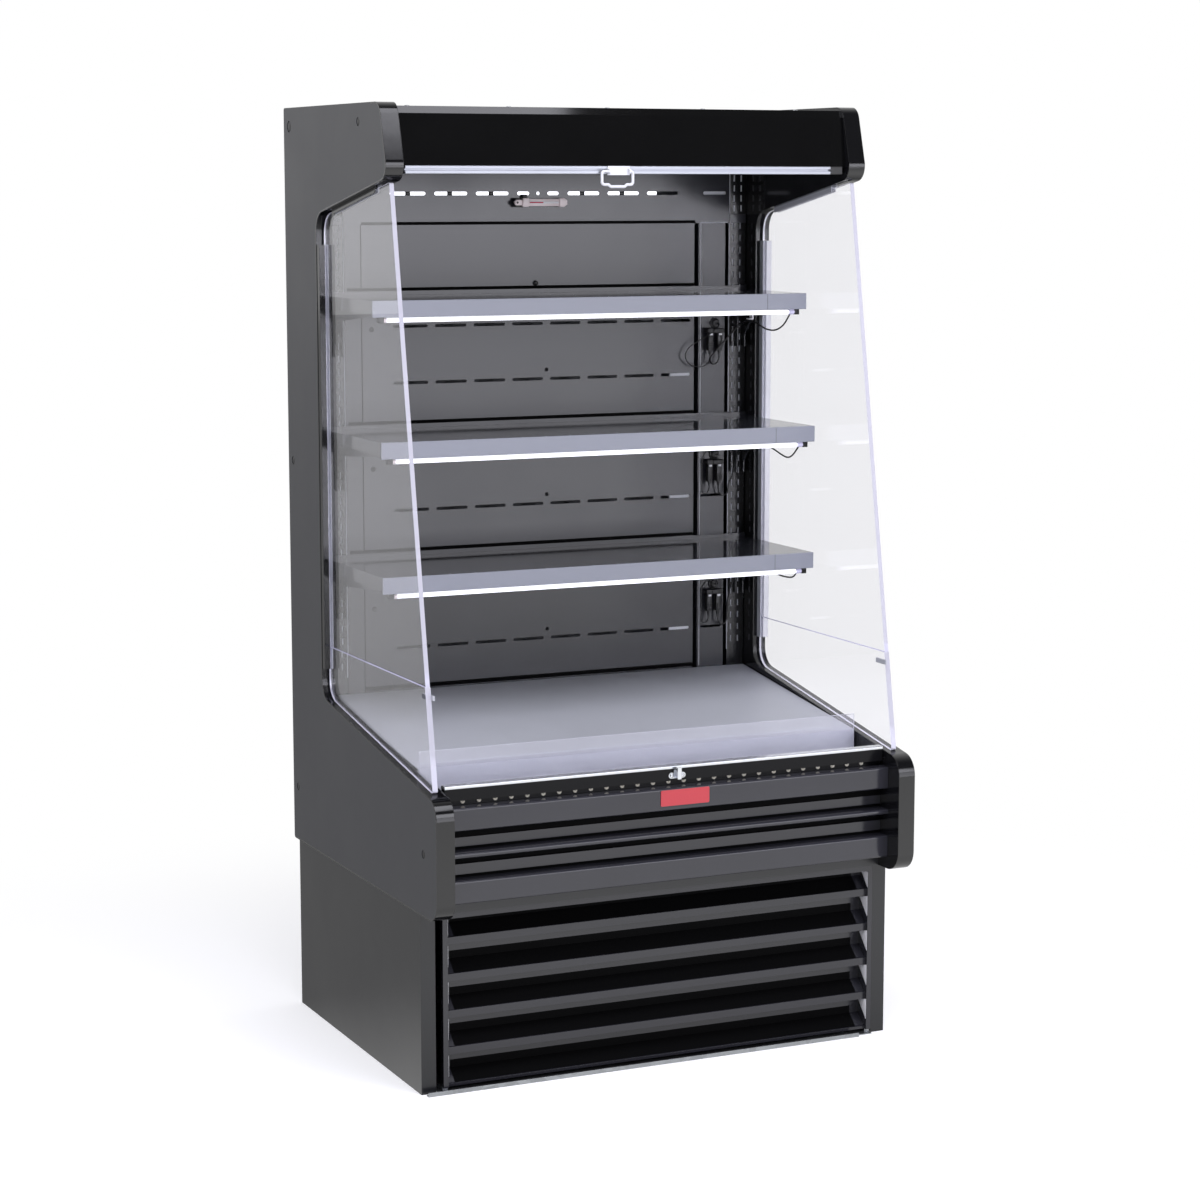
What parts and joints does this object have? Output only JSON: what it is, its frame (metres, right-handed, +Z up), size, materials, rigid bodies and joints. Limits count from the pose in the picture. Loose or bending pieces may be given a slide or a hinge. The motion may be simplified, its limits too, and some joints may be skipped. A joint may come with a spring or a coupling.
{
  "type": "open display cooler",
  "caption": "Upright open-front refrigerated display case with tilting lit shelves, a pull-down night cover, a lift-off deck and a machine compartment behind a louvred panel.",
  "frame": {"origin": "middle of the footprint on the floor", "axes": "+X to the right of the case, +Y to its rear, +Z up"},
  "size_m": [0.99, 0.786, 1.808],
  "materials": {
    "end_panel": "satin dark grey laminate over foam",
    "insulated_panel": "satin skin over foam",
    "black_gloss": "gloss black",
    "liner": "gloss dark grey powder coat",
    "dark_steel": "satin dark grey powder coat",
    "shelf_grey": "satin light grey powder coat",
    "galvanised": "galvanised",
    "aluminium": "mill finish",
    "chrome": "polished",
    "copper": "bare copper",
    "clear": "clear",
    "dark_plastic": "matt black",
    "light_plastic": "light grey",
    "bumper_grey": "satin grey",
    "badge_red": "plain red",
    "lamp_white": "opal white",
    "cable": "black",
    "cloth": "coated fabric"
  },
  "bodies": {
    "cabinet": {"end_panel_left": "end_panel", "end_panel_right": "end_panel", "edge_trims": "black_gloss", "header_panel": "black_gloss", "roof_panel": "insulated_panel", "rear_wall": "insulated_panel", "insulated_tub": "insulated_panel", "ceiling_panel": "liner", "back_panel": "liner", "back_side_panels": "liner", "shelf_uprights": "dark_steel", "honeycomb_grille": "dark_plastic", "night_cover_housing": "galvanised", "deck_ledges": "galvanised", "deck_nose": "dark_steel", "nose_strip": "chrome", "bumper_rail": "dark_plastic", "bumper_ribs": "bumper_grey", "badge_plate": "badge_red", "night_cover_catch": "chrome", "clear_side_panels": "clear", "panel_channels": "light_plastic", "lamp_connectors": "dark_plastic", "harness_loops": "cable", "thermometer": "light_plastic", "evaporator_coil": "aluminium", "evaporator_plenum": "galvanised", "condenser_coil": "aluminium", "condenser_shroud": "dark_steel", "compressor": "dark_steel", "refrigerant_tubes": "copper", "electrical_box": "galvanised", "condensate_pan": "dark_plastic", "base_side_panels": "dark_steel", "base_pan": "galvanised", "base_rear_panel": "galvanised", "screws_and_caps": "dark_plastic", "shelf_1_lead": "cable", "shelf_2_lead": "cable", "shelf_3_lead": "cable"},
    "cover_bar": {"pull_bar": "aluminium", "night_cover_cloth": "cloth"},
    "cover_roller": {"night_cover_roller": "cloth"},
    "handle_clip": {"handle_clip": "light_plastic"},
    "bail": {"pull_handle": "chrome"},
    "deck": {"deck_pan": "shelf_grey", "front_stop": "clear"},
    "louvre": {"louvre_panel": "dark_steel"},
    "evaporator_fan_left": {"evaporator_fan_left": "dark_plastic"},
    "evaporator_fan_right": {"evaporator_fan_right": "dark_plastic"},
    "condenser_fan": {"condenser_fan": "dark_plastic"},
    "shelf_1": {"shelf_1_pan": "shelf_grey", "shelf_1_brackets": "dark_steel", "shelf_1_lamp": "lamp_white"},
    "shelf_2": {"shelf_2_pan": "shelf_grey", "shelf_2_brackets": "dark_steel", "shelf_2_lamp": "lamp_white"},
    "shelf_3": {"shelf_3_pan": "shelf_grey", "shelf_3_brackets": "dark_steel", "shelf_3_lamp": "lamp_white"}
  },
  "joints": [
    {"name": "cover_slide", "type": "slide", "parent": "cabinet", "child": "cover_bar", "axis": [0, -0.1732, -0.9849], "range_m": [0, 1.08], "stiffness_N_per_m": 15, "springref_m": -1.2, "deforming": ["night_cover_cloth"]},
    {"name": "cover_roll", "type": "hinge", "parent": "cabinet", "child": "cover_roller", "pos_m": [0, -0.112, 1.745], "axis": [1, 0, 0], "range_deg": [-60, 2900]},
    {"name": "clip_slide", "type": "slide", "parent": "cover_bar", "child": "handle_clip", "axis": [1, 0, 0], "range_m": [-0.06, 0.06]},
    {"name": "bail_swing", "type": "hinge", "parent": "handle_clip", "child": "bail", "pos_m": [-0.02725, -0.1635, 1.684], "axis": [-1, 0, 0], "range_deg": [0, 85]},
    {"name": "deck_lift", "type": "slide", "parent": "cabinet", "child": "deck", "axis": [0, 0, 1], "range_m": [0, 0.08]},
    {"name": "louvre_pull", "type": "slide", "parent": "cabinet", "child": "louvre", "axis": [0, -1, 0], "range_m": [0, 0.3]},
    {"name": "evaporator_fan_left_spin", "type": "hinge", "parent": "cabinet", "child": "evaporator_fan_left", "pos_m": [-0.21, -0.151, 0.492], "axis": [0, 1, 0], "continuous": true},
    {"name": "evaporator_fan_right_spin", "type": "hinge", "parent": "cabinet", "child": "evaporator_fan_right", "pos_m": [0.21, -0.151, 0.492], "axis": [0, 1, 0], "continuous": true},
    {"name": "condenser_fan_spin", "type": "hinge", "parent": "cabinet", "child": "condenser_fan", "pos_m": [-0.16, -0.155, 0.16], "axis": [0, 1, 0], "continuous": true},
    {"name": "shelf_1_tilt", "type": "hinge", "parent": "cabinet", "child": "shelf_1", "pos_m": [0, 0.255, 1.4258], "axis": [-1, 0, 0], "range_deg": [0, 8]},
    {"name": "shelf_2_tilt", "type": "hinge", "parent": "cabinet", "child": "shelf_2", "pos_m": [0, 0.255, 1.1718], "axis": [-1, 0, 0], "range_deg": [0, 8]},
    {"name": "shelf_3_tilt", "type": "hinge", "parent": "cabinet", "child": "shelf_3", "pos_m": [0, 0.255, 0.9178], "axis": [-1, 0, 0], "range_deg": [0, 8]}
  ],
  "couplings": [
    {"joint": "cover_roll", "follows": "cover_slide", "rad_per_m": 44.64}
  ]
}
